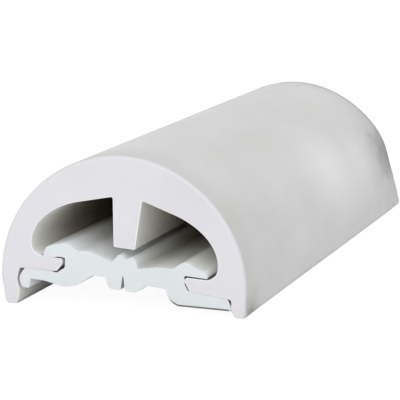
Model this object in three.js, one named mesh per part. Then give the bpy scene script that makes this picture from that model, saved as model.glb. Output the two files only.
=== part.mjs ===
import * as THREE from 'three';

// Edge protection profile: a flexible D-shaped cover slid onto a stiff support rail. Millimetres, +Z up.
// Each section is drawn in a plane across the length, u to the right and v up, with 0, 0 in the middle of
// the chord of the round outer face. Halves are drawn with u outwards. The left lip is the longer one, so
// the section stands canted on the floor.

const LENGTH = 162;
const CANT = THREE.MathUtils.degToRad(5);
const CHORD_HEIGHT = 7.05;
const CHORD_ERROR = 0.02;
const CURVE_STEPS = 24;

// Gaps between the cover and the support.
const HOOK_GAP = 0.45;
const FOOT_GAP = 0.25;
const LEFT_CHANNEL_GAP = 0.85;
const RIGHT_CHANNEL_GAP = 0.35;
const HOOK_TIP_GAP = 2.5;
const LEFT_FOOT_GAP = 0.6;
const RIGHT_FOOT_GAP = 0.4;
// The support has slid this far to the right inside the cover.
const SUPPORT_SHIFT = 0.5;

// Outer face: upright sides that bend over flattened shoulders to the crown.
const HALF_WIDTH = 35.05;
const CROWN_RISE = 34.9;
const SIDE_PULL = 21.4;
const CROWN_PULL = 16.3;

// Lips, trimmed to the floor line. The inset is from the side of the outer face.
const LEFT_LIP = { inset: 1.75, thickness: 3.6, outerRadius: 1.3, innerRadius: 0.3 };
const RIGHT_LIP = { inset: -0.35, thickness: 3.1, outerRadius: 1.1, innerRadius: 1 };
const LEFT_SIDE_BEND = { v: -2.4, radius: 12 };
// Inner sides of the lips, from the floor up to the tongues: [wall thickness, v, corner radius].
const TONGUE_ROOT_V = 0.45;
const LEFT_NOTCH = [
  [5.75, -5.6, 1.5],
  [4.9, -3, 1.5],
  [5.3, TONGUE_ROOT_V, 0.8],
];
const RIGHT_NOTCH = [
  [4.05, -2.5, 0.6],
  [4.2, TONGUE_ROOT_V, 0.8],
];

// Chambers, rib and tongues of the cover.
const SIDE_WALL = 8.55;
const CROWN_WALL = 11.5;
const CEILING_DROP = 6.2;
const CEILING_BEND = 13.4;
const CEILING_PULL = 7.4;
const WALL_RISE = 3.6;
const WALL_PULL = 5.6;
const CHAMBER_FLOOR_V = 4.8;
const CHAMBER_FLOOR_RADIUS = 3.2;
const RIB_SHIFT = 0.2;
const RIB_ROOT_HALF = 4.15;
const RIB_ROOT_RADIUS = 0.5;
const RIB_END_HALF = 3.05;
const RIB_END_V = 9.95;
const RIB_END_RADIUS = 0.45;
const LEFT_TONGUE_LENGTH = 9.2;
const RIGHT_TONGUE_LENGTH = 8.7;
const TONGUE_TOP_V = 4.6;
const TONGUE_NOSE_V = 3.1;
const TONGUE_HEEL_INSET = 1.4;
const TONGUE_HEEL_V = 1;
const TONGUE_RADIUS = 0.6;

// Boss and hooks of the support. Tops of the boss: [distance out from its middle, v, corner radius].
const BOSS_VALLEY_U = 0.4;
const BOSS_VALLEY_V = 7;
const LEFT_BOSS_TOP = [
  [1.6, 8.4, 0.8],
  [2.45, 7.15, 0.8],
];
const RIGHT_BOSS_TOP = [
  [1.95, 7.95, 0.7],
  [3.15, 7.2, 0.8],
];
const BOSS_HALF = 3.9;
const BOSS_BOTTOM_V = -1.55;
const BOSS_HEEL_RADIUS = 1.4;
const GROOVE_HALF = 0.6;
const GROOVE_APEX_U = -0.2;
const GROOVE_APEX_V = 3.4;
const GROOVE_RADIUS = 0.15;
const GROOVE_MOUTH_RADIUS = 0.5;
const HOOK_CROWN_V = 9.2;
const HOOK_CROWN_RADIUS = 2.2;
const HOOK_NOSE_INSET = 0.9;
const HOOK_NOSE_V = 7.3;
const HOOK_NOSE_RADIUS = 1.2;
const HOOK_TIP_RADIUS = 0.3;
const CHANNEL_TOP_RADIUS = 0.6;
const CHANNEL_FLOOR_RADIUS = 0.9;

// Webs between the boss and the hooks: [distance out from the boss, v, corner radius]. They are drawn for
// this span and stretch with it.
const WEB_SPAN = 13.05;
const LEFT_WEB_TOP = [
  [-0.3, 5.75, 0.4],
  [6.3, 7.85, 8],
  [9.3, 7.35, 1.2],
];
const LEFT_WEB_UNDERSIDE = [
  [13, -3, 4],
  [9.3, -2.1, 5],
  [4.9, 1.35, 1.5],
  [1.3, 1.45, 0.8],
];
const RIGHT_WEB_TOP = [
  [0, 4.9, 0.3],
  [5.5, 6.25, 10],
  [9.6, 6.35, 1.5],
];
const RIGHT_WEB_UNDERSIDE = [
  [11.1, -3.6, 3],
  [9, -1.7, 2.5],
  [8.2, 0.65, 0.6],
  [2.7, 0.8, 2.5],
];

// Feet, from the top of the end round and under: [distance in from the end, v, corner radius].
const FOOT_TOP_V = TONGUE_ROOT_V - FOOT_GAP;
const LEFT_FOOT = [
  [1.2, FOOT_TOP_V, 0.9],
  [0, -2.2, 2],
  [0.9, -4.85, 1.1],
  [3.15, -4.85, 0.5],
  [3.25, -2.15, 0.4],
  [7.3, -2.1, 8],
];
const RIGHT_FOOT = [
  [0.8, FOOT_TOP_V, 0.6],
  [0, -1.6, 0.5],
  [0.15, -2.75, 0.3],
];

const COVER_LOOK = { color: 0xdedde1, roughness: 0.5, metalness: 0 };
const SUPPORT_LOOK = { color: 0xdfe5e7, roughness: 0.4, metalness: 0 };

const chamberReach = HALF_WIDTH - SIDE_WALL;
const leftTongueEnd = chamberReach - LEFT_TONGUE_LENGTH;
const rightTongueEnd = chamberReach - RIGHT_TONGUE_LENGTH;

// Rounds the corners [u, v, radius] of a closed outline and gives its points.
function roundCorners(corners) {
  const points = [];
  corners.forEach(([u, v, radius], i) => {
    const corner = new THREE.Vector2(u, v);
    if (radius === 0) {
      points.push(corner);
      return;
    }
    const before = corners.at(i - 1);
    const after = corners[(i + 1) % corners.length];
    const toBefore = new THREE.Vector2(before[0] - u, before[1] - v).normalize();
    const toAfter = new THREE.Vector2(after[0] - u, after[1] - v).normalize();
    const half = Math.acos(toBefore.dot(toAfter)) / 2;
    const toCentre = toBefore.clone().add(toAfter).setLength(radius / Math.sin(half));
    const centre = corner.clone().add(toCentre);
    const first = corner.addScaledVector(toBefore, radius / Math.tan(half)).sub(centre);
    const sweep = (Math.PI - 2 * half) * Math.sign(toAfter.cross(toBefore));
    const largestStep = 2 * Math.acos(1 - CHORD_ERROR / radius);
    const steps = Math.max(2, Math.ceil(Math.abs(sweep) / largestStep));
    for (let step = 0; step <= steps; step++) {
      const spoke = first.clone().rotateAround(new THREE.Vector2(), (sweep * step) / steps);
      points.push(spoke.add(centre));
    }
  });
  return points;
}

// Points along a curve that leaves start towards leave and comes in to end from arrive.
function bend(start, leave, arrive, end) {
  const curve = new THREE.CubicBezierCurve(start, leave, arrive, end);
  return curve.getPoints(CURVE_STEPS).map((point) => [point.x, point.y, 0]);
}

function mirrored(corners) {
  return corners.map(([u, v, radius]) => [-u, v, radius]);
}

// Height of the floor in the canted section.
function floorAt(u) {
  return u * Math.tan(CANT) - CHORD_HEIGHT / Math.cos(CANT);
}

// One half of the round outer face, from the crown down to the side.
function outerFace() {
  return bend(
    new THREE.Vector2(0, CROWN_RISE),
    new THREE.Vector2(CROWN_PULL, CROWN_RISE),
    new THREE.Vector2(HALF_WIDTH, SIDE_PULL),
    new THREE.Vector2(HALF_WIDTH, 0),
  );
}

// One lip and its notch. The side is -1 on the left and 1 on the right.
function lipCorners(lip, notch, side) {
  const outer = HALF_WIDTH - lip.inset;
  const inner = outer - lip.thickness;
  return [
    [outer, floorAt(side * outer), lip.outerRadius],
    [inner, floorAt(side * inner), lip.innerRadius],
    ...notch.map(([wall, v, radius]) => [HALF_WIDTH - wall, v, radius]),
  ];
}

// One half of the inner side of the cover, from the tongue up round the chamber to the end of the rib.
function coverInside(tongueEnd, ribShift) {
  const ribRoot = RIB_ROOT_HALF + ribShift;
  const ceiling = CROWN_RISE - CROWN_WALL;
  const wallTop = new THREE.Vector2(chamberReach, CHAMBER_FLOOR_V + WALL_RISE);
  const corner = new THREE.Vector2(chamberReach, ceiling - CEILING_DROP);
  const inwards = new THREE.Vector2(ribRoot, ceiling).sub(corner).normalize();
  const bendStart = corner.clone().addScaledVector(inwards, CEILING_BEND);
  const wallBend = bend(
    wallTop,
    new THREE.Vector2(chamberReach, wallTop.y + WALL_PULL),
    bendStart.clone().addScaledVector(inwards, -CEILING_PULL),
    bendStart,
  );
  return [
    [tongueEnd + TONGUE_HEEL_INSET, TONGUE_HEEL_V, TONGUE_RADIUS],
    [tongueEnd, TONGUE_NOSE_V, TONGUE_RADIUS],
    [tongueEnd, TONGUE_TOP_V, TONGUE_RADIUS],
    [chamberReach, CHAMBER_FLOOR_V, CHAMBER_FLOOR_RADIUS],
    ...wallBend,
    [ribRoot, ceiling, RIB_ROOT_RADIUS],
    [RIB_END_HALF + ribShift, RIB_END_V, RIB_END_RADIUS],
  ];
}

function coverOutline() {
  const left = [
    ...outerFace(),
    [HALF_WIDTH, LEFT_SIDE_BEND.v, LEFT_SIDE_BEND.radius],
    ...lipCorners(LEFT_LIP, LEFT_NOTCH, -1),
    ...coverInside(leftTongueEnd, -RIB_SHIFT),
  ];
  const right = [
    ...outerFace().slice(1),
    ...lipCorners(RIGHT_LIP, RIGHT_NOTCH, 1),
    ...coverInside(rightTongueEnd, RIB_SHIFT),
  ];
  return roundCorners([...mirrored(left), ...right.reverse()]);
}

// One half of the support, from the boss out over the hook and back under the foot.
function supportSide({ channelWall, bossTop, webTop, foot, footEnd, webUnderside }) {
  const stretch = (channelWall - BOSS_HALF) / WEB_SPAN;
  const onWeb = ([out, v, radius]) => [BOSS_HALF + out * stretch, v, radius];
  const hookUnder = TONGUE_TOP_V + HOOK_GAP;
  const hookTip = chamberReach - HOOK_TIP_GAP - SUPPORT_SHIFT;
  return [
    ...bossTop,
    ...webTop.map(onWeb),
    [channelWall, HOOK_CROWN_V, HOOK_CROWN_RADIUS],
    [hookTip - HOOK_NOSE_INSET, HOOK_NOSE_V, HOOK_NOSE_RADIUS],
    [hookTip, hookUnder, HOOK_TIP_RADIUS],
    [channelWall, hookUnder, CHANNEL_TOP_RADIUS],
    [channelWall, TONGUE_HEEL_V - FOOT_GAP, CHANNEL_FLOOR_RADIUS],
    ...foot.map(([inset, v, radius]) => [footEnd - inset, v, radius]),
    ...webUnderside.map(onWeb),
    [BOSS_HALF, BOSS_BOTTOM_V, BOSS_HEEL_RADIUS],
    [GROOVE_HALF, BOSS_BOTTOM_V, GROOVE_MOUTH_RADIUS],
  ];
}

function supportOutline() {
  const leftNotchWall = Math.min(...LEFT_NOTCH.map(([wall]) => wall));
  const rightNotchWall = Math.min(...RIGHT_NOTCH.map(([wall]) => wall));
  const left = supportSide({
    channelWall: leftTongueEnd - LEFT_CHANNEL_GAP + SUPPORT_SHIFT,
    bossTop: LEFT_BOSS_TOP,
    webTop: LEFT_WEB_TOP,
    foot: LEFT_FOOT,
    footEnd: HALF_WIDTH - leftNotchWall - LEFT_FOOT_GAP + SUPPORT_SHIFT,
    webUnderside: LEFT_WEB_UNDERSIDE,
  });
  const right = supportSide({
    channelWall: rightTongueEnd - RIGHT_CHANNEL_GAP - SUPPORT_SHIFT,
    bossTop: RIGHT_BOSS_TOP,
    webTop: RIGHT_WEB_TOP,
    foot: RIGHT_FOOT,
    footEnd: HALF_WIDTH - rightNotchWall - RIGHT_FOOT_GAP - SUPPORT_SHIFT,
    webUnderside: RIGHT_WEB_UNDERSIDE,
  });
  const valley = [BOSS_VALLEY_U, BOSS_VALLEY_V, GROOVE_RADIUS];
  const groove = [GROOVE_APEX_U, GROOVE_APEX_V, GROOVE_RADIUS];
  const corners = [valley, ...mirrored(left), groove, ...right.reverse()];
  return roundCorners(corners.map(([u, v, radius]) => [u + SUPPORT_SHIFT, v, radius]));
}

// Extrudes a section along Y and stands it on the floor.
function piece(name, outline, look) {
  const section = new THREE.Shape(outline);
  const geometry = new THREE.ExtrudeGeometry(section, { depth: LENGTH, bevelEnabled: false });
  geometry.rotateZ(-CANT);
  geometry.rotateX(Math.PI / 2);
  geometry.translate(0, LENGTH / 2, CHORD_HEIGHT);
  const mesh = new THREE.Mesh(geometry, new THREE.MeshStandardMaterial(look));
  mesh.name = name;
  return mesh;
}

const cover = piece('cover_profile', coverOutline(), COVER_LOOK);
const support = piece('support_profile', supportOutline(), SUPPORT_LOOK);

// The origin lies under the middle of the cover's width.
const { min, max } = new THREE.Box3().setFromObject(cover);
for (const mesh of [cover, support]) {
  mesh.geometry.translate(-(min.x + max.x) / 2, 0, 0);
}

const part = new THREE.Group();
part.name = 'edge_protection_profile';
part.add(cover, support);

export default part;
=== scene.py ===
"""Looks of the edge protection profile: a flexible vinyl D cover on a stiff support rail.

Metres, +Z up. The length runs along Y, and the near end, which the camera looks at, is the low one. Both
pieces are drawn again round the sections of their own solids, with finer faces, trimmed cut edges and the
small dents and waves of soft extruded stock.
"""

import math

import bmesh
import bpy
import numpy as np
from mathutils import Matrix, Vector, noise
from mathutils.geometry import delaunay_2d_cdt


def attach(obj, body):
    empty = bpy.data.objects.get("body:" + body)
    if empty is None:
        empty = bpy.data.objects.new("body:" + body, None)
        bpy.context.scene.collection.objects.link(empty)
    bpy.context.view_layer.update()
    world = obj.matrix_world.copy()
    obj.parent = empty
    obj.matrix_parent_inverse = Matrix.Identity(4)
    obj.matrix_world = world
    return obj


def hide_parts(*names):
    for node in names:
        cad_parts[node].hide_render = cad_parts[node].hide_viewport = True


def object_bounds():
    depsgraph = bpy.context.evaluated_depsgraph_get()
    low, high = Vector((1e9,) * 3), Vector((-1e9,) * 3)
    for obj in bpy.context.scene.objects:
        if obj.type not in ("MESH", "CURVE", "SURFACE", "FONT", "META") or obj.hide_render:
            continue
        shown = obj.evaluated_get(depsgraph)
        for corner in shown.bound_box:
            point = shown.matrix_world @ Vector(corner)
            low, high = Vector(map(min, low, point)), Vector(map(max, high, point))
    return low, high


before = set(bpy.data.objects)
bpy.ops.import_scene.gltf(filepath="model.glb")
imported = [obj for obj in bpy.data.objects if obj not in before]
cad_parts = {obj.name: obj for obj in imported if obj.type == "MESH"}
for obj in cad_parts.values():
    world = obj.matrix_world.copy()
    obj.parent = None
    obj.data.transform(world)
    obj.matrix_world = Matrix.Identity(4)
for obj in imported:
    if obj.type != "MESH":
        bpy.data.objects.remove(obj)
cad_low, cad_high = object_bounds()

MM = 0.001

# Colours.
WHITE = (1, 1, 1)
SKIN_COLOUR = (0.604, 0.605, 0.605)
CUT_COLOUR = (0.725, 0.715, 0.754)
BURR_COLOUR = (0.93, 0.92, 0.9)
RAIL_CUT_COLOUR = (0.722, 0.757, 0.772)
# Painted shadow along the lower edge of the right foot.
FOOT_SHADOW_COLOUR = (0.16, 0.16, 0.16)
# How matte each face is. The skin's own value stands for the patches of gloss set below.
SKIN_ROUGHNESS = 0.45
CUT_ROUGHNESS = 0.6
INSIDE_ROUGHNESS = 0.55
RAIL_ROUGHNESS = 0.4
RAIL_CUT_ROUGHNESS = 0.5
FOOT_SHADOW_ROUGHNESS = 0.7
FLOOR_ROUGHNESS = 0.9
# Colours of the inner faces, from the cut end inwards: (depth, colour). Their darkening inwards is painted
# shade of the deep chambers.
COVER_INSIDE = (
    (0, (0.94, 0.93, 0.9)),
    (16 * MM, (0.88, 0.86, 0.81)),
    (30 * MM, (0.7, 0.66, 0.58)),
    (50 * MM, (0.4, 0.35, 0.27)),
    (75 * MM, (0.2, 0.16, 0.11)),
)
RAIL_INSIDE = (
    (0, (0.9, 0.94, 0.97)),
    (25 * MM, (0.86, 0.88, 0.89)),
    (45 * MM, (0.6, 0.57, 0.52)),
    (75 * MM, (0.3, 0.25, 0.18)),
)
# The open underside of the rail: milder painted shade inwards.
RAIL_UNDER = (
    (0, (0.9, 0.94, 0.97)),
    (35 * MM, (0.8, 0.82, 0.82)),
    (75 * MM, (0.72, 0.72, 0.7)),
)
# What is left of these from left to right, as painted shade and light: the right side of the rib is darker,
# the right of the rail warmer.
COVER_SHADES = (
    (-1 * MM, WHITE),
    (1 * MM, (0.78, 0.78, 0.77)),
    (8 * MM, (0.78, 0.78, 0.77)),
    (20 * MM, WHITE),
)
RAIL_SHADES = (
    (1 * MM, WHITE),
    (6 * MM, (0.95, 0.93, 0.88)),
    (14 * MM, (1, 0.98, 0.94)),
    (24 * MM, (1.06, 1.04, 1)),
)
# Painted shade deep in a gap between the pieces: what is left of the colour there, and how wide such a gap
# is.
CREVICE_SHADE = (0.3, 0.3, 0.29)
CREVICE_REACH = (0.3 * MM, 1.3 * MM)
# Gaps where the painted shade stays paler: left, right, bottom and top of each, and the share of the painted
# shade it keeps.
PALE_GAPS = (
    ((-17.9 * MM, -16.7 * MM, 11.5 * MM, 18 * MM), 0.3),
    ((-32 * MM, -28 * MM, 0, 12 * MM), 0.55),
    ((24 * MM, 30 * MM, 7 * MM, 18 * MM), 0.9),
)
# The outer face: mottling, a greenish tinge, streaks along it, patches of gloss, darker ends and painted
# shade on the far rim.
MOTTLE_SIZE = (20 * MM, 34 * MM, 20 * MM)
MOTTLE = 0.03
TINGE_SIZE = (11 * MM, 15 * MM, 11 * MM)
TINGE = (0.99, 0.992, 0.97)
TINGE_RANGE = (0.52, 0.7)
STREAK_SIZE = (1.1 * MM, 160 * MM, 1.1 * MM)
STREAK_SHADE = (0.99, 0.99, 0.99)
GLOSS_SIZE = (9 * MM, 20 * MM, 9 * MM)
GLOSS_ROUGHNESS = (0.4, 0.52)
EDGE_WEAR = 0.8 * MM
# Darker towards both cut ends: over this length, and what is left of the colour at the end.
END_DARK_REACH = 14 * MM
END_DARK_SHADE = (0.92, 0.92, 0.91)
# Painted shade on the rounded far rim: how far it reaches, what is left of the colour, and the heights over
# which it comes in.
FAR_RIM = 4 * MM
FAR_RIM_SHADE = (0.74, 0.74, 0.74)
FAR_RIM_HEIGHT = (6 * MM, 16 * MM)
# Noise stays mostly between these values. Each seed moves it by this much along each axis.
NOISE_RANGE = (0.3, 0.7)
NOISE_SHIFT = (1, 0.7, 1.3)
# Soft marks on the outer face: centre, reach and how much of the light is kept from the centre outwards.
# Painted shade of the dent at the far end of the right wall.
FAR_MARK = ((33 * MM, 78 * MM, 19.3 * MM), (28 * MM, 40 * MM, 24 * MM))
FAR_MARK_STOPS = ((0, 0.38), (0.18, 0.54), (0.43, 0.86), (0.71, 0.95), (1, 1))
# Painted shade by the floor at the near right toe.
TOE_MARK = ((35 * MM, -77 * MM, -1 * MM), (20 * MM, 12 * MM, 11 * MM))
TOE_MARK_STOPS = ((0, 0.33), (0.14, 0.42), (0.36, 0.68), (0.64, 0.92), (0.85, 0.99), (1, 1))
NEAR_MARK = ((34 * MM, -70 * MM, 16 * MM), (26 * MM, 36 * MM, 17 * MM))
NEAR_MARK_STOPS = ((0, 0.94), (0.55, 0.95), (1, 1))
# A slightly greyer part of the near cut, at its right shoulder.
CUT_MARK = ((23 * MM, -81 * MM, 34 * MM), (18 * MM, 30 * MM, 18 * MM))
CUT_MARK_STOPS = ((0, 0.95), (0.5, 0.965), (1, 1))
MARK_NOISE_SIZE = (6 * MM, 6 * MM, 6 * MM)
MARK_BLUR = 0.08
# Lines along the length and grain of the extruded faces, and how strong and high they are on each.
LINE_SIZE = (0.7 * MM, 120 * MM, 0.7 * MM)
LINE_GRAIN_SIZE = (0.35 * MM, 0.5 * MM, 0.35 * MM)
LINE_GRAIN = 0.5
SKIN_LINES = (0.25, 0.05 * MM)
INNER_LINES = (0.3, 0.06 * MM)
# Dust on the inner faces.
DUST_SIZE = (3 * MM, 18 * MM, 3 * MM)
DUST_SHADE = (0.95, 0.95, 0.94)
DUST_RANGE = (0.35, 0.65)
# The sawn ends: a bloom that darkens and lightens them, saw marks and grain.
BLOOM_SIZE = (14 * MM, 14 * MM, 8 * MM)
BLOOM = (0.98, 1.015)
SAW_SIZE = (9 * MM, 9 * MM, 0.22 * MM)
SAW_BEND = 0.3
SAW_GRAIN_SIZE = (0.3 * MM, 0.3 * MM, 0.3 * MM)
SAW_STRENGTH = 0.2
SAW_HEIGHT = 0.05 * MM

# Lights and floor.
WORLD_LIGHT = 0.93
KEY_PLACE = (0.12, -1.0, 0.8)
KEY_SIZE = 0.8
KEY_POWER = 2.8
FLOOR_REACH = 6
FLOOR_GLOW = 0.95
FLOOR_COLOUR = 0.1
BOUNCE_COLOUR = 0.9
BOUNCE_DROP = 0.1 * MM
# A soft patch of light along the right side, made of narrow spots: where each falls, its power and its
# width in degrees.
PATCH_PLACE = (260 * MM, -110 * MM, 200 * MM)
SPOT_RADIUS = 10 * MM
PATCH_SPOTS = (
    ((28 * MM, -4 * MM, 28 * MM), 0.15, 5),
    ((29.8 * MM, 8 * MM, 25.2 * MM), 0.5, 5),
    ((30.8 * MM, 18 * MM, 24 * MM), 0.65, 5),
    ((31.4 * MM, 28 * MM, 23.2 * MM), 0.5, 4),
    ((32.1 * MM, 44 * MM, 20.8 * MM), 0.6, 3),
    ((32.3 * MM, 51 * MM, 20.4 * MM), 1.5, 2.8),
)

# Camera of the photograph.
CAMERA_PLACE = (0.1910, -0.5582, 0.1237)
CAMERA_TURN = math.radians(19.44)
CAMERA_DOWN = math.radians(10.38)
CAMERA_ROLL = math.radians(-0.88)
CAMERA_LENS = 178.3
CAMERA_SENSOR = 36
CAMERA_CLIP = (0.01, 50)

# Sections, rings and cut ends: longest steps, and how far the cut edges are trimmed.
SECTION_STEP = 0.7 * MM
SECTION_TURN = math.radians(20)
COVER_RING_STEP = 1.6 * MM
SUPPORT_RING_STEP = 3.2 * MM
CAP_STEP = 1.6 * MM
CAP_MARGIN = 0.6 * MM
TRIM_STEPS = 4
INNER_TRIM = 0.2 * MM
OUTER_TRIM = 1 * MM
SEAM_TRIM = 0.03 * MM
SEAM_REACH = (0.06 * MM, 0.25 * MM)
SEAM_END = 22 * MM
FAR_TRIM_SHARE = 0.3
RAIL_TRIM = 0.08 * MM
RAIL_LOWER_TRIM = 0.6 * MM
WELD = 0.002 * MM
CAP_WELD = 1e-9
# Where the painted shadow on the lower edge of the right foot starts.
FOOT_SHADOW_START = (12 * MM, 14 * MM)
# How far a normal has to lean away from the middle, up or down for a face to count as outer, upper or
# lower, and the lean below which a face counts as an underside.
OUTWARD = (0.2, 0.7)
UPWARD = (0.3, 0.8)
DOWNWARD = (0.5, 0.8)
UNDER_TILT = 0.1
FLOOR_TILT = -0.1
HOOK_TILT = -0.3

# Middle of the tongues of the cover: its height above the origin, and how it falls to the right.
TONGUE_HEIGHT = 9.85 * MM
TONGUE_FALL = math.tan(math.radians(5))

# How the rail sits in the cover: its feet up against the tongues, its right channel on the nose of the
# right tongue, and its left hook down on the left tongue. Its right hook is lower than in the solids.
SEAM = 0.015 * MM
FACING_SHARE = 0.5
LEFT_REACH = (0.3 * MM, 0.5 * MM)
RIGHT_REACH = (1.4 * MM, 1.8 * MM)
PRESS_TOP = (1.1 * MM, 1.6 * MM)
PRESS_END = (29.3 * MM, 30 * MM)
LEFT_PRESS_END = (-20 * MM, -19.4 * MM)
RIGHT_HEEL = (18.4 * MM, 7.5 * MM)
RIGHT_HEEL_REACH = (0.9 * MM, 1.4 * MM)
RIGHT_HEEL_GAP = 0.28 * MM
LEFT_CHANNEL = (-18.6 * MM, -17 * MM)
LEFT_CHANNEL_HALF = 4 * MM
LEFT_CHANNEL_FLOOR = 9.2 * MM
LEFT_CHANNEL_BELOW = 1 * MM
LEFT_CHANNEL_FADE = (0.6 * MM, 1.8 * MM)
LEFT_CHANNEL_RISE = 1 * MM
HOOK_REACH = 1 * MM
HOOK_DROOP = 0.33 * MM
HOOK_DROOP_END = (-19.2 * MM, -17.8 * MM)
HOOK_TIP_DROOP = 0.1 * MM
HOOK_TIP = (-21.4 * MM, -20.4 * MM)
LEFT_FOOT_STRETCH = 0.08 * MM
LEFT_FOOT_END = (-29.5 * MM, -27 * MM)
RIGHT_CROWN_DROP = 0.7 * MM
RIGHT_CROWN = (21.3 * MM, 3.6 * MM)
RIGHT_CROWN_HEIGHT = (1 * MM, 3 * MM)
RIGHT_HOOK_STRETCH = 0.15 * MM
RIGHT_HOOK_TIP = (22 * MM, 25.5 * MM)
RIGHT_FOOT_STRETCH = 0.36 * MM
RIGHT_FOOT_END = (29 * MM, 30.4 * MM)
GROOVE = (0.25 * MM, 10.6 * MM)
GROOVE_REACH = (0.5 * MM, 0.9 * MM)
GROOVE_SHARE = 0.6

# Unevenness of soft extruded stock.
SKIN_REACH = 31 * MM
SKIN_FULL = 33.5 * MM
# Waves of the outer face: their size and height. Each seed moves them by this much along each axis.
WAVES = ((26 * MM, 0.1 * MM), (9 * MM, 0.03 * MM))
WAVE_SHIFT = (7.31, 3.17, 5.73)
CUT_WAVE = 0.05 * MM
CUT_WAVE_SIZE = (9 * MM, 2.2 * MM)

# Far end: the cut runs out and lifts at the right toe, whose corner is square, and the wall above it is
# pushed in.
TOE_RUN_OUT = 2.6 * MM
TOE_FLARE = 0.7 * MM
TOE_LIFT = 1 * MM
TOE_HEIGHT = (0.5 * MM, 10.5 * MM)
TOE_LENGTH = 14 * MM
TOE_SQUARE = (31 * MM, 33 * MM)
TOE_SQUARE_TOP = 3 * MM
FAR_DENT = 0.68 * MM
FAR_CUT_BACK = 0.6 * MM
FAR_DENT_HEIGHT = 15.7 * MM
FAR_DENT_SPREAD = 6 * MM
FAR_DENT_LENGTH = 10 * MM
# The right wall bows in a little towards the floor.
BOW = 0.2 * MM
BOW_PLACE = -45 * MM
BOW_SPREAD = 32 * MM
BOW_HEIGHT = (4 * MM, 16 * MM)

# Material slots: the outer face of the cover or the skin of the rail, then the cut ends, then two more of
#  the cover (inner faces, burr) or of the rail (lower edge with a painted shadow, underside).
SKIN_SLOT = 0
CUT_SLOT = 1
INSIDE_SLOT = 2
BURR_SLOT = 3
FOOT_SHADOW_SLOT = 2
UNDER_SLOT = 3

NEAR = cad_low.y
FAR = cad_high.y
OUTER_CENTRE_HEIGHT = cad_high.z - (cad_high.x - cad_low.x) / 2


def smooth(low, high, value):
    """0 below low, 1 above high, and a smooth rise between."""
    t = np.clip((value - low) / (high - low), 0, 1)
    return t * t * (3 - 2 * t)


def bump_at(value, centre, spread):
    """A round hump of height 1 about a centre."""
    return np.exp(-(((value - centre) / spread) ** 2))


def waves(points, scale, seed):
    """Smooth noise from -1 to 1 at each point, with features of about the scale."""
    shift = Vector([seed * s for s in WAVE_SHIFT])
    return np.array([noise.noise(Vector(p) / scale + shift) for p in points])


def make_camera():
    data = bpy.data.cameras.new("camera")
    data.lens = CAMERA_LENS
    data.sensor_width = CAMERA_SENSOR
    data.clip_start, data.clip_end = CAMERA_CLIP
    camera = bpy.data.objects.new("camera", data)
    turn = Matrix.Rotation(CAMERA_TURN, 4, "Z")
    tip = Matrix.Rotation(math.pi / 2 - CAMERA_DOWN, 4, "X")
    roll = Matrix.Rotation(CAMERA_ROLL, 4, "Z")
    camera.matrix_world = Matrix.Translation(CAMERA_PLACE) @ turn @ tip @ roll
    bpy.context.scene.collection.objects.link(camera)
    bpy.context.scene.camera = camera


make_camera()


def section_corners(node):
    """The corners (x, z) of a node's section in order, anticlockwise seen from the near end."""
    mesh = bmesh.new()
    mesh.from_mesh(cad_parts[node].data)
    bmesh.ops.remove_doubles(mesh, verts=mesh.verts, dist=WELD)
    near = min(v.co.y for v in mesh.verts)
    on_cap = {v for v in mesh.verts if v.co.y < near + WELD}
    rim = [
        e for e in mesh.edges
        if set(e.verts) <= on_cap and any(not set(f.verts) <= on_cap for f in e.link_faces)
    ]
    beside = {}
    for edge in rim:
        a, b = edge.verts
        beside.setdefault(a, []).append(b)
        beside.setdefault(b, []).append(a)
    first = rim[0].verts[0]
    loop = [first, beside[first][0]]
    while loop[-1] is not first:
        one, other = beside[loop[-1]]
        loop.append(other if one is loop[-2] else one)
    corners = np.array([(v.co.x, v.co.z) for v in loop[:-1]])
    mesh.free()
    following = np.roll(corners, -1, axis=0)
    area = np.sum(corners[:, 0] * following[:, 1] - following[:, 0] * corners[:, 1])
    return corners if area > 0 else corners[::-1]


def smooth_section(corners):
    """A finer loop through the corners, and its outward normals. Straight runs stay straight."""
    edges = np.roll(corners, -1, axis=0) - corners
    lengths = np.linalg.norm(edges, axis=1)
    ways = edges / lengths[:, None]
    pull = lengths[:, None] ** 3
    tangents = ways * pull + np.roll(ways * pull, 1, axis=0)
    tangents /= np.linalg.norm(tangents, axis=1)[:, None]
    points = []
    directions = []
    for i, corner in enumerate(corners):
        nxt = (i + 1) % len(corners)
        turned = math.acos(np.clip(tangents[i] @ tangents[nxt], -1, 1))
        steps = max(math.ceil(lengths[i] / SECTION_STEP), math.ceil(turned / SECTION_TURN), 1)
        start = tangents[i] * lengths[i]
        end = tangents[nxt] * lengths[i]
        for t in np.arange(steps) / steps:
            t2, t3 = t * t, t ** 3
            points.append(
                (2 * t3 - 3 * t2 + 1) * corner + (t3 - 2 * t2 + t) * start
                + (3 * t2 - 2 * t3) * corners[nxt] + (t3 - t2) * end
            )
            direction = (
                (6 * t2 - 6 * t) * corner + (3 * t2 - 4 * t + 1) * start
                + (6 * t - 6 * t2) * corners[nxt] + (3 * t2 - 2 * t) * end
            )
            directions.append(direction / np.linalg.norm(direction))
    directions = np.array(directions)
    return np.array(points), np.stack([directions[:, 1], -directions[:, 0]], axis=1)


def inside_points(loop):
    """A grid of points (x, z) inside a loop, clear of its edge."""
    low, high = loop.min(0), loop.max(0)
    columns = np.arange(low[0], high[0], CAP_STEP)
    rows = np.arange(low[1], high[1], CAP_STEP)
    found = []
    ends = np.roll(loop, -1, axis=0)
    along = ends - loop
    for column in columns:
        for row in rows:
            point = np.array([column, row])
            crosses = (loop[:, 1] > row) != (ends[:, 1] > row)
            share = (row - loop[:, 1]) / np.where(along[:, 1] == 0, 1, along[:, 1])
            if np.sum(crosses & (column < loop[:, 0] + share * along[:, 0])) % 2 == 0:
                continue
            t = np.clip(np.sum((point - loop) * along, axis=1) / np.sum(along ** 2, axis=1), 0, 1)
            if np.min(np.linalg.norm(loop + t[:, None] * along - point, axis=1)) > CAP_MARGIN:
                found.append(point)
    return np.array(found)


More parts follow.
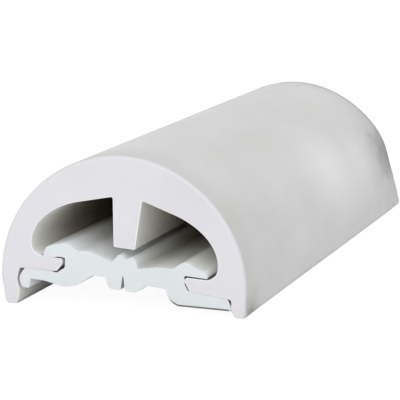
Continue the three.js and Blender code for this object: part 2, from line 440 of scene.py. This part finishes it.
def rings(ring_step, trim):
    """How far in each ring is set and where it lies along the length, for each point of the section. The far
    cut is trimmed less than the near one."""
    angles = np.linspace(0, math.pi / 2, TRIM_STEPS + 1)
    inset = np.outer(1 - np.sin(angles), trim)
    back = np.outer(1 - np.cos(angles), trim)
    edge = max(trim)
    count = round((FAR - NEAR) / ring_step)
    middle = np.linspace(NEAR + edge, FAR - edge, count + 1)[1:-1]
    middle = np.outer(middle, np.ones(len(trim)))
    places = np.concatenate([NEAR + back, middle, FAR - back[::-1] * FAR_TRIM_SHARE])
    insets = np.concatenate([inset, np.zeros(middle.shape), inset[::-1] * FAR_TRIM_SHARE])
    return insets, places


def make_walls(loop, normals, insets, places, along_slots, edge_slots):
    """The rings round a section: points, outward ways, faces and the material slot of each face."""
    count = len(loop)
    points = []
    outward = []
    for inset, place in zip(insets, places):
        ring = loop - normals * inset[:, None]
        points.append(np.column_stack([ring[:, 0], place, ring[:, 1]]))
        outward.append(np.column_stack([normals[:, 0], np.zeros(count), normals[:, 1]]))
    faces = []
    slots = []
    for ring in range(len(places) - 1):
        first, second = ring * count, (ring + 1) * count
        for i in range(count):
            j = (i + 1) % count
            faces.append((first + i, first + j, second + j, second + i))
        trimmed = ring < TRIM_STEPS or ring >= len(places) - 1 - TRIM_STEPS
        slots.extend(edge_slots if trimmed else along_slots)
    return np.concatenate(points), np.concatenate(outward), faces, slots


def make_cap(rim, place, offset, base):
    """The points inside a rim and the faces of the cut end over it. offset is the number of the rim's first
    point, and base that of the first point inside."""
    grid = inside_points(rim)
    count = len(rim)
    flat = [Vector(p) for p in np.concatenate([rim, grid])]
    _, _, triangles, origins, _, _ = delaunay_2d_cdt(flat, [], [list(range(count))], 1, CAP_WELD)
    faces = []
    for triangle in triangles:
        corners = [origins[v][0] for v in triangle]
        corners = [offset + c if c < count else base + c - count for c in corners]
        faces.append(tuple(corners) if place == NEAR else tuple(corners[::-1]))
    return np.column_stack([grid[:, 0], np.full(len(grid), place), grid[:, 1]]), faces


def make_mesh(name, points, faces, slots, wall_count):
    """A smooth mesh with hard edges between its walls, which are its first faces, and its cut ends."""
    mesh = bpy.data.meshes.new(name)
    mesh.from_pydata(points.tolist(), [], faces)
    mesh.polygons.foreach_set("use_smooth", [True] * len(faces))
    mesh.polygons.foreach_set("material_index", [int(s) for s in slots])
    tidy = bmesh.new()
    tidy.from_mesh(mesh)
    bmesh.ops.recalc_face_normals(tidy, faces=tidy.faces)
    tidy.faces.ensure_lookup_table()
    for edge in tidy.edges:
        one, other = (f.index >= wall_count for f in edge.link_faces)
        edge.smooth = one == other
    tidy.to_mesh(mesh)
    tidy.free()
    return mesh


def build_profile(name, node, ring_step, style, shape, crevice, fit=None):
    """Draws a piece again round a node's section. style gives the trim of the cut edge at each point, and
    the material slot of each face along the length and on the trimmed edge. shape moves the finished points.
    crevice says how deep in a gap each point of the section lies, from 0 to 1. fit moves the section."""
    loop, normals = smooth_section(section_corners(node))
    if fit is not None:
        loop = fit(loop, normals)
    trim, along_slots, edge_slots = style(loop, normals)
    insets, places = rings(ring_step, trim)
    points, outward, faces, slots = make_walls(loop, normals, insets, places, along_slots, edge_slots)
    wall_count = len(faces)
    ring_points = len(points)
    for offset, place, inset in ((0, NEAR, insets[0]), (ring_points - len(loop), FAR, insets[-1])):
        inside, cap = make_cap(loop - normals * inset[:, None], place, offset, len(points))
        points = np.concatenate([points, inside])
        faces += cap
    slots += [CUT_SLOT] * (len(faces) - wall_count)
    outward = np.concatenate([outward, np.zeros((len(points) - ring_points, 3))])
    depth = np.minimum(points[:, 1] - NEAR, FAR - points[:, 1])
    hidden = np.zeros(len(points))
    hidden[:ring_points] = np.tile(crevice(loop), len(places))
    mesh = make_mesh(name, shape(points, outward), faces, slots, wall_count)
    for label, values in (("depth", depth), ("crevice", hidden)):
        mesh.attributes.new(label, "FLOAT", "POINT").data.foreach_set("value", values)
    piece = bpy.data.objects.new(name, mesh)
    bpy.context.scene.collection.objects.link(piece)
    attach(piece, "root")
    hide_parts(node)
    return piece


def nearest_on(points, loop):
    """The nearest place on a closed loop to each point, and how far away it is."""
    along = np.roll(loop, -1, axis=0) - loop
    offset = points[:, None, :] - loop[None, :, :]
    share = np.clip(np.sum(offset * along, axis=2) / np.sum(along ** 2, axis=1), 0, 1)
    apart = offset - share[:, :, None] * along
    distance = np.linalg.norm(apart, axis=2)
    best = np.argmin(distance, axis=1)
    rows = np.arange(len(points))
    return points - apart[rows, best], distance[rows, best]


def above_tongues(x, z):
    """Height above the line through the middle of both tongues."""
    return z - TONGUE_HEIGHT + TONGUE_FALL * x


def press_rail(loop, normals, nearest, gap):
    """Closes the rail's feet and right channel on the tongues. nearest and gap are to the cover."""
    x, z = loop.T
    facing = np.sum((nearest - loop) * normals, axis=1) > FACING_SHARE * gap
    right = (1 - smooth(*PRESS_TOP, above_tongues(*nearest.T))) * (1 - smooth(*RIGHT_REACH, gap))
    right = right * (1 - smooth(*PRESS_END, x))
    left = smooth(*UPWARD, normals[:, 1]) * (above_tongues(x, z) < 0)
    left = left * (1 - smooth(*LEFT_REACH, gap)) * (1 - smooth(*LEFT_PRESS_END, x))
    pressed = np.where(x > 0, right, left) * facing
    at_heel = 1 - smooth(*RIGHT_HEEL_REACH, np.linalg.norm(nearest - RIGHT_HEEL, axis=1))
    wanted = SEAM + (RIGHT_HEEL_GAP - SEAM) * at_heel
    return loop + (nearest - loop) * (pressed * (gap - wanted) / gap)[:, None]


def seat_rail(loop, normals):
    """Presses the rail on the tongues, stretches its ends, raises the floor of its left channel and lets
    its hooks down a little."""
    nearest, gap = nearest_on(loop, section_corners("cover_profile"))
    moved = press_rail(loop, normals, nearest, gap)
    x, z = loop.T
    height = above_tongues(x, z)
    low = height < 0
    moved[:, 0] += low * (RIGHT_FOOT_STRETCH * smooth(*RIGHT_FOOT_END, x))
    moved[:, 0] -= low * (LEFT_FOOT_STRETCH * (1 - smooth(*LEFT_FOOT_END, x)))
    moved[:, 0] += ~low * (RIGHT_HOOK_STRETCH * smooth(*RIGHT_HOOK_TIP, x))
    floor = smooth(*LEFT_CHANNEL, x) * (x < 0) * (np.abs(height) < LEFT_CHANNEL_HALF)
    floor = floor * (1 - smooth(*LEFT_CHANNEL_FADE, z - LEFT_CHANNEL_FLOOR)) * (normals[:, 1] > FLOOR_TILT)
    moved[:, 1] += np.where(z > LEFT_CHANNEL_FLOOR - LEFT_CHANNEL_BELOW, LEFT_CHANNEL_RISE * floor, 0)
    under_hook = (x < 0) & ~low & (normals[:, 1] < HOOK_TILT) & (gap < HOOK_REACH)
    droop = HOOK_DROOP * (1 - smooth(*HOOK_DROOP_END, x)) + HOOK_TIP_DROOP * (1 - smooth(*HOOK_TIP, x))
    moved[:, 1] -= np.where(under_hook, droop, 0)
    crown = smooth(*UPWARD, normals[:, 1]) * bump_at(x, *RIGHT_CROWN) * smooth(*RIGHT_CROWN_HEIGHT, height)
    moved[:, 1] -= RIGHT_CROWN_DROP * crown
    return moved


def rail_loop():
    """The section of the rail as it is drawn."""
    return seat_rail(*smooth_section(section_corners("support_profile")))


def at_tight_seam(loop, other):
    """1 where the two pieces touch, but for the seam under the right tongue."""
    return (1 - smooth(*SEAM_REACH, nearest_on(loop, other)[1])) * (loop[:, 0] < SEAM_END)


def paler(loop):
    """The share of its shade that each point of a section keeps in a gap."""
    x, z = loop.T
    kept = np.ones(len(loop))
    for (left, right, bottom, top), share in PALE_GAPS:
        kept = np.where((x > left) & (x < right) & (z > bottom) & (z < top), share, kept)
    return kept


def cover_crevice(loop):
    """Gaps to the rail, where shade is painted."""
    return (1 - smooth(*CREVICE_REACH, nearest_on(loop, rail_loop())[1])) * paler(loop)


def rail_crevice(loop):
    """Gaps to the cover, and the groove under the rail's middle, where shade is painted."""
    beside = 1 - smooth(*CREVICE_REACH, nearest_on(loop, section_corners("cover_profile"))[1])
    x, z = loop.T
    groove = GROOVE_SHARE * (1 - smooth(*GROOVE_REACH, np.abs(x - GROOVE[0]))) * (z < GROOVE[1])
    return np.maximum(beside * paler(loop), groove)


def age_cover(points, outward):
    """Waves the outer face, runs the far cut out at the toe and dents the far end, as soft stock does."""
    x, y, z = points.T
    middle = (cad_low.x + cad_high.x) / 2
    radius = np.hypot(x - middle, z - OUTER_CENTRE_HEIGHT)
    skin = smooth(SKIN_REACH, SKIN_FULL, radius)
    out = np.zeros(len(points))
    for seed, (size, height) in enumerate(WAVES):
        out += height * waves(points, size, seed + 1) * smooth(0, 2 * size, z)
    right = smooth(0, SKIN_FULL, x)
    to_far = FAR - y
    dent = bump_at(z, FAR_DENT_HEIGHT, FAR_DENT_SPREAD) * np.exp(-((to_far / FAR_DENT_LENGTH) ** 2)) * right
    out -= FAR_DENT * dent
    out -= BOW * bump_at(y, BOW_PLACE, BOW_SPREAD) * (1 - smooth(*BOW_HEIGHT, z)) * right
    toe = (1 - smooth(*TOE_HEIGHT, z)) * right
    run_out = toe * np.clip(1 - to_far / TOE_LENGTH, 0, 1) ** 2
    out += TOE_FLARE * run_out
    # Nothing is pushed down, so that the lips stay on the floor.
    push = outward * [1, 1, 0] + np.maximum(outward, 0) * [0, 0, 1]
    moved = points + push * (out * skin)[:, None]
    moved[:, 1] += TOE_RUN_OUT * run_out - FAR_CUT_BACK * dent
    moved[:, 2] += TOE_LIFT * run_out
    square = smooth(*TOE_SQUARE, x) * (1 - smooth(TOE_SQUARE_TOP / 2, TOE_SQUARE_TOP, z)) * skin * run_out
    moved[:, 0] += square * (cad_high.x - x)
    return roughen_cuts(moved, points)


def roughen_cuts(moved, points):
    """Leaves the slight waves of a saw on both cut ends."""
    x, y, z = points.T
    at_end = 1 - smooth(0, OUTER_TRIM, np.minimum(y - NEAR, FAR - y))
    coordinates = np.column_stack([x / CUT_WAVE_SIZE[0], np.sign(y), z / CUT_WAVE_SIZE[1]])
    moved[:, 1] += CUT_WAVE * at_end * waves(coordinates, 1, 5)
    return moved


def rail_cuts(points, outward):
    """The stiff rail keeps its shape. Only its cut ends are uneven."""
    return roughen_cuts(points.copy(), points)


def add(tree, kind, links=None, **settings):
    """Adds a node with its own settings. links gives each input a value or another node's output."""
    made = tree.nodes.new(kind)
    for name, value in settings.items():
        setattr(made, name, value)
    for name, value in (links or {}).items():
        if isinstance(value, bpy.types.NodeSocket):
            tree.links.new(value, made.inputs[name])
        else:
            made.inputs[name].default_value = value
    return made


def new_material(name, colour, roughness):
    """A material with one shader, and the place on the object as its coordinates."""
    material = bpy.data.materials.new(name)
    material.use_nodes = True
    tree = material.node_tree
    shader = tree.nodes["Principled BSDF"]
    shader.inputs["Base Color"].default_value = (*colour, 1)
    shader.inputs["Roughness"].default_value = roughness
    place = add(tree, "ShaderNodeTexCoord").outputs["Object"]
    return material, tree, shader, place


def noise_at(tree, place, size, detail=2, seed=0, distort=0):
    """Noise from 0 to 1 with features of the size (x, y, z) in metres."""
    stretch = add(
        tree, "ShaderNodeMapping",
        {"Vector": place, "Scale": tuple(1 / s for s in size),
         "Location": tuple(seed * s for s in NOISE_SHIFT)},
    )
    made = add(
        tree, "ShaderNodeTexNoise",
        {"Vector": stretch.outputs["Vector"], "Scale": 1, "Detail": detail, "Distortion": distort},
    )
    return made.outputs[0]


def ramp(tree, factor, *stops):
    """Colours along a factor, from (place, colour) pairs."""
    made = add(tree, "ShaderNodeValToRGB", {"Fac": factor})
    elements = made.color_ramp.elements
    while len(elements) < len(stops):
        elements.new(0.5)
    for element, (place, colour) in zip(elements, stops):
        element.position = place
        element.color = (*colour, 1)
    return made.outputs["Color"]


def mix(tree, factor, one, other, kind="MIX"):
    """Two colours mixed. The factor is a number or another node's output."""
    made = add(tree, "ShaderNodeMix", {"Factor": factor}, data_type="RGBA", blend_type=kind)
    for socket, colour in ((6, one), (7, other)):
        if isinstance(colour, bpy.types.NodeSocket):
            tree.links.new(colour, made.inputs[socket])
        else:
            made.inputs[socket].default_value = (*colour, 1)
    return made.outputs[2]


def multiply(tree, one, other):
    return mix(tree, 1, one, other, "MULTIPLY")


def remap(tree, value, low, high, new_low, new_high):
    """A value carried over from one range to another, and held at its ends."""
    made = add(
        tree, "ShaderNodeMapRange",
        {"Value": value, "From Min": low, "From Max": high, "To Min": new_low, "To Max": new_high},
    )
    return made.outputs["Result"]


def stored(tree, label):
    """A value stored on the mesh: depth, from the nearer cut end in metres, or crevice, from 0 to 1."""
    return add(tree, "ShaderNodeAttribute", attribute_name=label).outputs["Fac"]


def soft_mark(tree, place, mark, stops):
    """How much light a soft mark keeps: its stops run from its centre outwards, broken up by noise."""
    centre, size = mark
    stretch = add(
        tree, "ShaderNodeMapping",
        {"Vector": place, "Scale": tuple(1 / s for s in size),
         "Location": tuple(-c / s for c, s in zip(centre, size))},
    )
    length = add(tree, "ShaderNodeVectorMath", {0: stretch.outputs["Vector"]}, operation="LENGTH")
    broken = noise_at(tree, place, MARK_NOISE_SIZE, seed=7)
    blur = remap(tree, broken, *NOISE_RANGE, -MARK_BLUR, MARK_BLUR)
    distance = add(tree, "ShaderNodeMath", {0: length.outputs["Value"], 1: blur}, operation="ADD")
    return ramp(tree, distance.outputs[0], *((at, (kept, kept, kept)) for at, kept in stops))


def die_lines(tree, place, strength, distance):
    """Fine lines along the length, left by the extruder, over a soft grain."""
    lines = noise_at(tree, place, LINE_SIZE, detail=3)
    grain = noise_at(tree, place, LINE_GRAIN_SIZE, detail=2, seed=3)
    grain = remap(tree, grain, 0, 1, 0, LINE_GRAIN)
    both = add(tree, "ShaderNodeMath", {0: lines, 1: grain}, operation="ADD")
    return add(
        tree, "ShaderNodeBump", {"Height": both.outputs[0], "Strength": strength, "Distance": distance}
    ).outputs["Normal"]


def two_stops(span, one, other):
    """Stops for a ramp from one colour to another over a span of the factor."""
    return (span[0], one), (span[1], other)


def scaled(colour, share):
    """A colour made darker or lighter."""
    return tuple(min(1, c * share) for c in colour)


def cover_skin():
    """Satin outer face: faintly mottled, with a greenish tinge in places, soft marks, two of them painted
    shade, and darker ends, with painted shade on the far rim.
    """
    material, tree, shader, place = new_material("vinyl_skin", SKIN_COLOUR, SKIN_ROUGHNESS)
    mottle = noise_at(tree, place, MOTTLE_SIZE, detail=3, seed=1)
    shades = (scaled(SKIN_COLOUR, 1 - MOTTLE), scaled(SKIN_COLOUR, 1 + MOTTLE))
    colour = ramp(tree, mottle, *two_stops(NOISE_RANGE, *shades))
    tinge = noise_at(tree, place, TINGE_SIZE, detail=1, seed=8)
    colour = multiply(tree, colour, ramp(tree, tinge, *two_stops(TINGE_RANGE, WHITE, TINGE)))
    near_cut = remap(tree, stored(tree, "depth"), 0, END_DARK_REACH, 0, 1)
    colour = multiply(tree, colour, ramp(tree, near_cut, (0, END_DARK_SHADE), (1, WHITE)))
    # The far and toe marks are painted shade. The near mark is a slightly greyer patch.
    for mark, stops in ((FAR_MARK, FAR_MARK_STOPS), (TOE_MARK, TOE_MARK_STOPS), (NEAR_MARK, NEAR_MARK_STOPS)):
        colour = multiply(tree, colour, soft_mark(tree, place, mark, stops))
    streaks = noise_at(tree, place, STREAK_SIZE, detail=2, seed=4)
    colour = multiply(tree, colour, ramp(tree, streaks, *two_stops(NOISE_RANGE, STREAK_SHADE, WHITE)))
    colour = mix(tree, remap(tree, stored(tree, "depth"), 0, EDGE_WEAR, 1, 0), colour, CUT_COLOUR)
    # Painted shade on the far rim.
    split = add(tree, "ShaderNodeSeparateXYZ", {"Vector": place})
    rim = remap(tree, split.outputs["Y"], FAR - FAR_RIM, FAR - FAR_RIM / 4, 0, 1)
    above = remap(tree, split.outputs["Z"], *FAR_RIM_HEIGHT, 0, 1)
    rim = add(tree, "ShaderNodeMath", {0: rim, 1: above}, operation="MULTIPLY").outputs[0]
    colour = multiply(tree, colour, ramp(tree, rim, (0, WHITE), (1, FAR_RIM_SHADE)))
    tree.links.new(colour, shader.inputs["Base Color"])
    patches = noise_at(tree, place, GLOSS_SIZE, detail=2, seed=6)
    tree.links.new(remap(tree, patches, *NOISE_RANGE, *GLOSS_ROUGHNESS), shader.inputs["Roughness"])
    tree.links.new(die_lines(tree, place, *SKIN_LINES), shader.inputs["Normal"])
    return material


def cut_face(name, colour, roughness, mark=None, stops=None):
    """A sawn end: matte, with fine marks across, a slight bloom and, if given, a soft mark."""
    material, tree, shader, place = new_material(name, colour, roughness)
    bloom = noise_at(tree, place, BLOOM_SIZE, detail=3, seed=2)
    shade = ramp(tree, bloom, *two_stops(NOISE_RANGE, *(scaled(colour, share) for share in BLOOM)))
    if mark is not None:
        shade = multiply(tree, shade, soft_mark(tree, place, mark, stops))
    tree.links.new(shade, shader.inputs["Base Color"])
    marks = noise_at(tree, place, SAW_SIZE, detail=2, seed=7, distort=SAW_BEND)
    grain = noise_at(tree, place, SAW_GRAIN_SIZE, detail=2, seed=9)
    both = add(tree, "ShaderNodeMath", {0: marks, 1: grain}, operation="ADD")
    bump = add(
        tree, "ShaderNodeBump", {"Height": both.outputs[0], "Strength": SAW_STRENGTH, "Distance": SAW_HEIGHT}
    )
    tree.links.new(bump.outputs["Normal"], shader.inputs["Normal"])
    return material


def inner_face(name, stops, roughness, shades):
    """A face inside the profile, with painted shade: darker and warmer the further in it lies, and dark in
    narrow gaps. shades are the painted shade and light left of its colour from left to right."""
    material, tree, shader, place = new_material(name, stops[0][1], roughness)
    deepest = stops[-1][0]
    # Painted shade: darker and warmer the further in from the cut ends.
    depth = remap(tree, stored(tree, "depth"), 0, deepest, 0, 1)
    colour = ramp(tree, depth, *((at / deepest, shade) for at, shade in stops))
    # Painted shade in narrow gaps between the pieces.
    colour = multiply(tree, colour, ramp(tree, stored(tree, "crevice"), (0, WHITE), (1, CREVICE_SHADE)))
    # Painted shade and light across the inner faces, from left to right.
    across = add(tree, "ShaderNodeSeparateXYZ", {"Vector": place}).outputs["X"]
    start, end = shades[0][0], shades[-1][0]
    to_right = remap(tree, across, start, end, 0, 1)
    shading = (((at - start) / (end - start), shade) for at, shade in shades)
    colour = multiply(tree, colour, ramp(tree, to_right, *shading))
    dust = noise_at(tree, place, DUST_SIZE, detail=2, seed=5)
    colour = multiply(tree, colour, ramp(tree, dust, *two_stops(DUST_RANGE, DUST_SHADE, WHITE)))
    tree.links.new(colour, shader.inputs["Base Color"])
    tree.links.new(die_lines(tree, place, *INNER_LINES), shader.inputs["Normal"])
    return material


def cover_style(loop, normals):
    """The outer edge of the cut is worn round. The edges inside keep a pale burr."""
    x, z = loop.T
    spoke = np.column_stack([x - (cad_low.x + cad_high.x) / 2, z - OUTER_CENTRE_HEIGHT])
    radius = np.linalg.norm(spoke, axis=1)
    facing_out = smooth(*OUTWARD, np.sum(spoke * normals, axis=1) / radius)
    trim = INNER_TRIM + (OUTER_TRIM - INNER_TRIM) * facing_out * smooth(SKIN_REACH, SKIN_FULL, radius)
    trim -= (trim - SEAM_TRIM) * at_tight_seam(loop, rail_loop())
    outer = radius > SKIN_REACH
    return trim, np.where(outer, SKIN_SLOT, INSIDE_SLOT), np.where(outer, SKIN_SLOT, BURR_SLOT)


def rail_style(loop, normals):
    """The lower edge of the right foot has a painted shadow. The open underside has milder painted shade than
    the chambers.
    """
    below = above_tongues(*loop.T) < 0
    # Painted shadow on the lower edge of the right foot.
    shadowed_edge = smooth(*DOWNWARD, -normals[:, 1]) * smooth(*FOOT_SHADOW_START, loop[:, 0]) * below
    trim = RAIL_TRIM + (RAIL_LOWER_TRIM - RAIL_TRIM) * shadowed_edge
    trim -= (trim - SEAM_TRIM) * at_tight_seam(loop, section_corners("cover_profile"))
    under = below & (normals[:, 1] < UNDER_TILT)
    return trim, np.where(under, UNDER_SLOT, SKIN_SLOT), np.where(shadowed_edge > 0.5, FOOT_SHADOW_SLOT, CUT_SLOT)


def make_cover():
    piece = build_profile("cover", "cover_profile", COVER_RING_STEP, cover_style, age_cover, cover_crevice)
    piece.data.materials.append(cover_skin())
    piece.data.materials.append(cut_face("vinyl_cut", CUT_COLOUR, CUT_ROUGHNESS, CUT_MARK, CUT_MARK_STOPS))
    piece.data.materials.append(inner_face("vinyl_inside", COVER_INSIDE, INSIDE_ROUGHNESS, COVER_SHADES))
    piece.data.materials.append(cut_face("vinyl_burr", BURR_COLOUR, CUT_ROUGHNESS))


def make_rail():
    piece = build_profile(
        "rail", "support_profile", SUPPORT_RING_STEP, rail_style, rail_cuts, rail_crevice, fit=seat_rail
    )
    piece.data.materials.append(inner_face("rail_skin", RAIL_INSIDE, RAIL_ROUGHNESS, RAIL_SHADES))
    piece.data.materials.append(cut_face("rail_cut", RAIL_CUT_COLOUR, RAIL_CUT_ROUGHNESS))
    # Painted shadow along the lower edge of the right foot.
    piece.data.materials.append(cut_face("rail_foot_shadow", FOOT_SHADOW_COLOUR, FOOT_SHADOW_ROUGHNESS))
    piece.data.materials.append(inner_face("rail_under", RAIL_UNDER, RAIL_ROUGHNESS, RAIL_SHADES))


def floor_material(name, grey, glow):
    """A pale studio floor. Its glow keeps it white right up to the part."""
    material, _, shader, _ = new_material(name, (grey, grey, grey), FLOOR_ROUGHNESS)
    shader.inputs["Emission Color"].default_value = (*WHITE, 1)
    shader.inputs["Emission Strength"].default_value = glow
    shader.inputs["Specular IOR Level"].default_value = 0
    return material


def make_sheet(name, height, material):
    mesh = bpy.data.meshes.new(name)
    corners = [(-1, -1), (1, -1), (1, 1), (-1, 1)]
    mesh.from_pydata([(FLOOR_REACH * x, FLOOR_REACH * y, height) for x, y in corners], [], [(0, 1, 2, 3)])
    mesh.materials.append(material)
    sheet = bpy.data.objects.new(name, mesh)
    bpy.context.scene.collection.objects.link(sheet)
    return sheet


def make_floor():
    """The floor that is seen, and one just under it that gives back the light, with its real shadows."""
    seen = make_sheet("floor", 0, floor_material("floor", FLOOR_COLOUR, FLOOR_GLOW))
    seen.visible_diffuse = False
    seen.visible_glossy = False
    seen.visible_shadow = False
    bounce = make_sheet("floor_bounce", -BOUNCE_DROP, floor_material("floor_bounce", BOUNCE_COLOUR, 0))
    bounce.visible_camera = False


def make_softbox(name, place, size, power):
    """A square light that faces the middle of the part."""
    data = bpy.data.lights.new(name, "AREA")
    data.size = size
    data.energy = power
    light = bpy.data.objects.new(name, data)
    light.location = place
    light.rotation_mode = "QUATERNION"
    middle = (cad_low + cad_high) / 2
    light.rotation_quaternion = (middle - Vector(place)).to_track_quat("-Z", "Y")
    bpy.context.scene.collection.objects.link(light)


def make_spot(name, target, power, width):
    """A narrow soft-edged spot of the light patch."""
    data = bpy.data.lights.new(name, "SPOT")
    data.spot_size = math.radians(width)
    data.spot_blend = 1
    data.shadow_soft_size = SPOT_RADIUS
    data.energy = power
    light = bpy.data.objects.new(name, data)
    light.location = PATCH_PLACE
    light.rotation_mode = "QUATERNION"
    light.rotation_quaternion = (Vector(target) - Vector(PATCH_PLACE)).to_track_quat("-Z", "Y")
    bpy.context.scene.collection.objects.link(light)


def make_lights():
    world = bpy.data.worlds.new("world")
    world.use_nodes = True
    world.node_tree.nodes["Background"].inputs["Color"].default_value = (*WHITE, 1)
    world.node_tree.nodes["Background"].inputs["Strength"].default_value = WORLD_LIGHT
    bpy.context.scene.world = world
    make_softbox("key", KEY_PLACE, KEY_SIZE, KEY_POWER)
    for number, (target, power, width) in enumerate(PATCH_SPOTS, 1):
        make_spot(f"patch_{number}", target, power, width)
    bpy.context.scene.view_settings.view_transform = "Standard"


make_cover()
make_rail()
make_floor()
make_lights()
